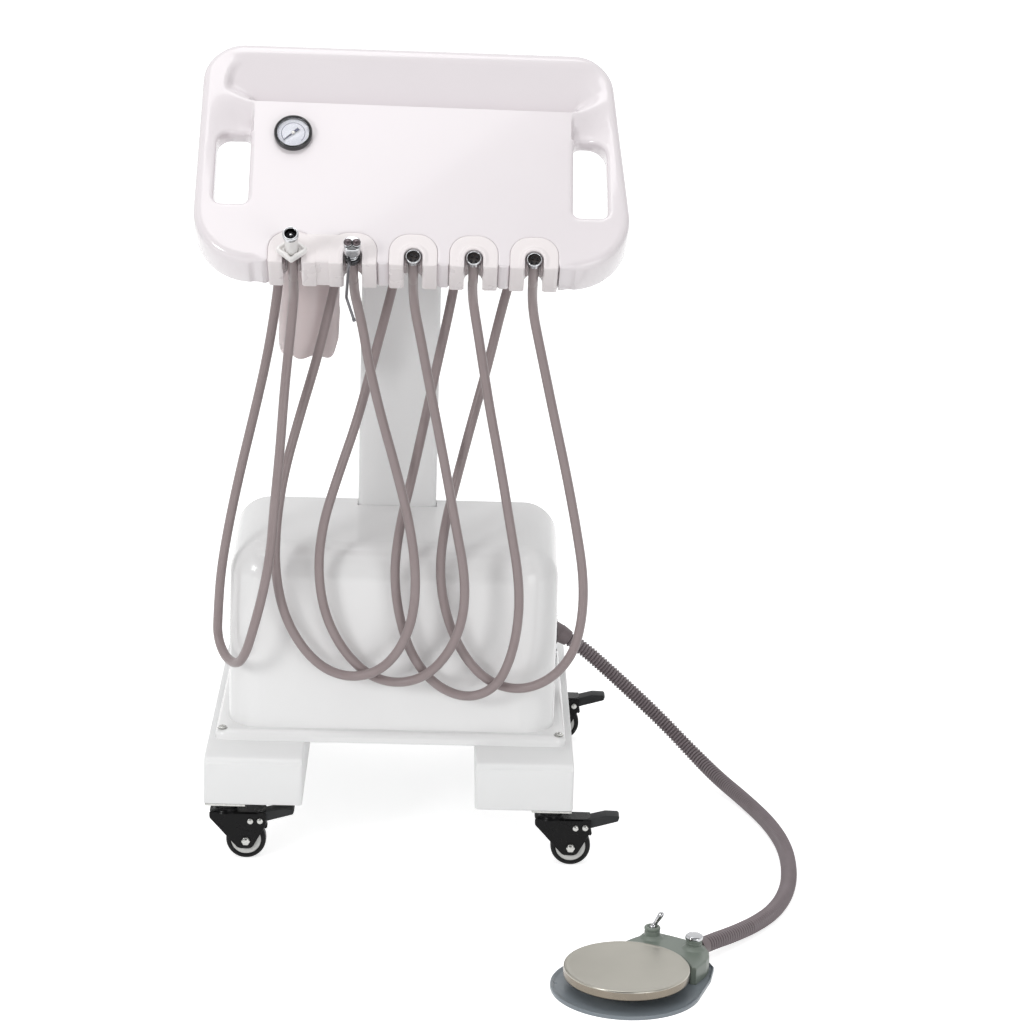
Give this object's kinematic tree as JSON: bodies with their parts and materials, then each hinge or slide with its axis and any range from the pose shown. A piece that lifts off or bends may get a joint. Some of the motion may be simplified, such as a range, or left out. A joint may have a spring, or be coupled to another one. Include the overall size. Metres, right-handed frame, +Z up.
{
  "type": "portable dental unit",
  "caption": "Wheeled dental treatment unit: sloping instrument console on a column over a covered compressor base, with hanging hoses, water bottle and floor foot control.",
  "frame": {"origin": "on the floor, midway between the four caster swivels", "axes": "+X to the user's right along the console, +Y away from the user, +Z up"},
  "size_m": [0.7564, 0.951, 0.9934],
  "materials": {
    "painted_steel": "satin",
    "cover_plastic": "gloss",
    "console_plastic": "gloss",
    "holder_plastic": "gloss",
    "plated_steel": "polished",
    "black_steel": "satin",
    "wheel_rubber": "matte",
    "black_plastic": "matte",
    "hose_rubber": "satin",
    "corrugated_hose": "matte",
    "bottle_plastic": "clear",
    "gauge_lens": "clear",
    "dial_white": "matte",
    "needle_blue": "satin",
    "white_plastic": "gloss",
    "cast_grey": "satin",
    "tread_steel": "brushed",
    "plate_grey": "satin",
    "blackened_fins": "matte",
    "motor_steel": "satin",
    "foot_rubber": "matte",
    "fan_plastic": "matte"
  },
  "bodies": {
    "frame": {"base_cover": "cover_plastic", "base_plate": "painted_steel", "bottle_cap": "white_plastic", "caster_plates": "plated_steel", "column": "painted_steel", "compressor_feet": "foot_rubber", "compressor_heads": "blackened_fins", "compressor_motor": "motor_steel", "console_base": "console_plastic", "console_bracket": "painted_steel", "console_shell": "console_plastic", "cover_screws": "plated_steel", "fan_frames": "fan_plastic", "fan_guards": "plated_steel", "floor_plate": "plate_grey", "foot_hose": "corrugated_hose", "foot_left": "painted_steel", "foot_right": "painted_steel", "foot_valve": "cast_grey", "gauge_case": "black_plastic", "gauge_dial": "dial_white", "gauge_glass": "gauge_lens", "holders": "holder_plastic", "hose_glands": "black_plastic", "instrument_hose_1": "hose_rubber", "instrument_hose_2": "hose_rubber", "instrument_hose_3": "hose_rubber", "instrument_hose_4": "hose_rubber", "instrument_hose_5": "hose_rubber", "power_inlet": "black_plastic", "valve_cap": "plated_steel"},
    "caster_fork_front_left": {"caster_fork_front_left": "black_steel"},
    "caster_fork_front_right": {"caster_fork_front_right": "black_steel"},
    "caster_fork_back_left": {"caster_fork_back_left": "black_steel"},
    "caster_fork_back_right": {"caster_fork_back_right": "black_steel"},
    "caster_wheel_front_left": {"caster_wheel_front_left": "wheel_rubber"},
    "caster_wheel_front_right": {"caster_wheel_front_right": "wheel_rubber"},
    "caster_wheel_back_left": {"caster_wheel_back_left": "wheel_rubber"},
    "caster_wheel_back_right": {"caster_wheel_back_right": "wheel_rubber"},
    "brake_pedal_front_left": {"brake_pedal_front_left": "black_plastic"},
    "brake_pedal_front_right": {"brake_pedal_front_right": "black_plastic"},
    "brake_pedal_back_left": {"brake_pedal_back_left": "black_plastic"},
    "brake_pedal_back_right": {"brake_pedal_back_right": "black_plastic"},
    "gauge_needle": {"gauge_needle": "needle_blue"},
    "water_bottle": {"water_bottle": "bottle_plastic"},
    "fan_rotor_left": {"fan_rotor_left": "fan_plastic"},
    "fan_rotor_right": {"fan_rotor_right": "fan_plastic"},
    "compressor_shaft": {"compressor_shaft": "fan_plastic"},
    "suction_valve": {"suction_valve": "white_plastic"},
    "air_button": {"air_button": "black_plastic"},
    "water_button": {"water_button": "black_plastic"},
    "coupler_3": {"coupler_3": "black_plastic"},
    "coupler_4": {"coupler_4": "black_plastic"},
    "coupler_5": {"coupler_5": "black_plastic"},
    "foot_tread": {"foot_tread": "tread_steel"},
    "foot_toggle": {"foot_toggle": "plated_steel"},
    "power_switch": {"power_switch": "black_plastic"},
    "suction_handpiece": {"suction_handpiece": "white_plastic"},
    "syringe": {"syringe_body": "plated_steel", "syringe_nozzle": "plated_steel"}
  },
  "joints": [
    {"name": "swivel_front_left", "type": "hinge", "parent": "frame", "child": "caster_fork_front_left", "pos_m": [-0.2025, -0.231, 0.06], "axis": [0, 0, 1], "continuous": true},
    {"name": "roll_front_left", "type": "hinge", "parent": "caster_fork_front_left", "child": "caster_wheel_front_left", "pos_m": [-0.177, -0.231, 0.025], "axis": [0, 1, 0], "continuous": true},
    {"name": "brake_front_left", "type": "hinge", "parent": "caster_fork_front_left", "child": "brake_pedal_front_left", "pos_m": [-0.1625, -0.231, 0.0562], "axis": [0, 1, 0], "range_deg": [0, 16]},
    {"name": "swivel_front_right", "type": "hinge", "parent": "frame", "child": "caster_fork_front_right", "pos_m": [0.2025, -0.231, 0.06], "axis": [0, 0, 1], "continuous": true},
    {"name": "roll_front_right", "type": "hinge", "parent": "caster_fork_front_right", "child": "caster_wheel_front_right", "pos_m": [0.228, -0.231, 0.025], "axis": [0, 1, 0], "continuous": true},
    {"name": "brake_front_right", "type": "hinge", "parent": "caster_fork_front_right", "child": "brake_pedal_front_right", "pos_m": [0.2425, -0.231, 0.0562], "axis": [0, 1, 0], "range_deg": [0, 16]},
    {"name": "swivel_back_left", "type": "hinge", "parent": "frame", "child": "caster_fork_back_left", "pos_m": [-0.2025, 0.228, 0.06], "axis": [0, 0, 1], "continuous": true},
    {"name": "roll_back_left", "type": "hinge", "parent": "caster_fork_back_left", "child": "caster_wheel_back_left", "pos_m": [-0.177, 0.228, 0.025], "axis": [0, 1, 0], "continuous": true},
    {"name": "brake_back_left", "type": "hinge", "parent": "caster_fork_back_left", "child": "brake_pedal_back_left", "pos_m": [-0.1625, 0.228, 0.0562], "axis": [0, 1, 0], "range_deg": [0, 16]},
    {"name": "swivel_back_right", "type": "hinge", "parent": "frame", "child": "caster_fork_back_right", "pos_m": [0.2025, 0.228, 0.06], "axis": [0, 0, 1], "continuous": true},
    {"name": "roll_back_right", "type": "hinge", "parent": "caster_fork_back_right", "child": "caster_wheel_back_right", "pos_m": [0.228, 0.228, 0.025], "axis": [0, 1, 0], "continuous": true},
    {"name": "brake_back_right", "type": "hinge", "parent": "caster_fork_back_right", "child": "brake_pedal_back_right", "pos_m": [0.2425, 0.228, 0.0562], "axis": [0, 1, 0], "range_deg": [0, 16]},
    {"name": "needle_sweep", "type": "hinge", "parent": "frame", "child": "gauge_needle", "pos_m": [-0.1305, -0.1713, 0.90294], "axis": [0, -0.766, 0.6428], "range_deg": [-262, 0], "stiffness_Nm_per_rad": 0.0002},
    {"name": "bottle_unscrew", "type": "hinge", "parent": "frame", "child": "water_bottle", "pos_m": [-0.112, -0.095, 0.84], "axis": [0, 0, -1], "range_deg": [0, 360]},
    {"name": "fan_spin_left", "type": "hinge", "parent": "frame", "child": "fan_rotor_left", "pos_m": [-0.19, -0.055, 0.24], "axis": [1, 0, 0], "continuous": true},
    {"name": "fan_spin_right", "type": "hinge", "parent": "frame", "child": "fan_rotor_right", "pos_m": [0.19, -0.055, 0.24], "axis": [1, 0, 0], "continuous": true},
    {"name": "compressor_spin", "type": "hinge", "parent": "frame", "child": "compressor_shaft", "pos_m": [0, -0.093, 0.212], "axis": [1, 0, 0], "continuous": true},
    {"name": "suction_lift", "type": "slide", "parent": "frame", "child": "suction_handpiece", "axis": [0, -0.766, 0.6428], "range_m": [0, 0.06]},
    {"name": "syringe_lift", "type": "slide", "parent": "frame", "child": "syringe", "axis": [0, -0.766, 0.6428], "range_m": [0, 0.06]},
    {"name": "coupler_3_lift", "type": "slide", "parent": "frame", "child": "coupler_3", "axis": [0, -0.766, 0.6428], "range_m": [0, 0.06]},
    {"name": "coupler_4_lift", "type": "slide", "parent": "frame", "child": "coupler_4", "axis": [0, -0.766, 0.6428], "range_m": [0, 0.06]},
    {"name": "coupler_5_lift", "type": "slide", "parent": "frame", "child": "coupler_5", "axis": [0, -0.766, 0.6428], "range_m": [0, 0.06]},
    {"name": "suction_valve_turn", "type": "hinge", "parent": "suction_handpiece", "child": "suction_valve", "pos_m": [-0.1258, -0.27932, 0.78276], "axis": [0, -0.766, 0.6428], "range_deg": [0, 90]},
    {"name": "water_press", "type": "slide", "parent": "syringe", "child": "water_button", "axis": [0, -0.766, 0.6428], "range_m": [-0.002, 0], "stiffness_N_per_m": 300, "springref_m": 0.003},
    {"name": "air_press", "type": "slide", "parent": "syringe", "child": "air_button", "axis": [0, -0.766, 0.6428], "range_m": [-0.002, 0], "stiffness_N_per_m": 300, "springref_m": 0.003},
    {"name": "tread_press", "type": "slide", "parent": "frame", "child": "foot_tread", "axis": [0, 0, 1], "range_m": [-0.003, 0], "stiffness_N_per_m": 8000, "springref_m": 0.004},
    {"name": "toggle_flip", "type": "hinge", "parent": "frame", "child": "foot_toggle", "pos_m": [0.3155, -0.517, 0.036], "axis": [0, 1, 0], "range_deg": [-60, 0]},
    {"name": "switch_rock", "type": "hinge", "parent": "frame", "child": "power_switch", "pos_m": [0.105, 0.1655, 0.2], "axis": [1, 0, 0], "range_deg": [-8, 8]}
  ]
}
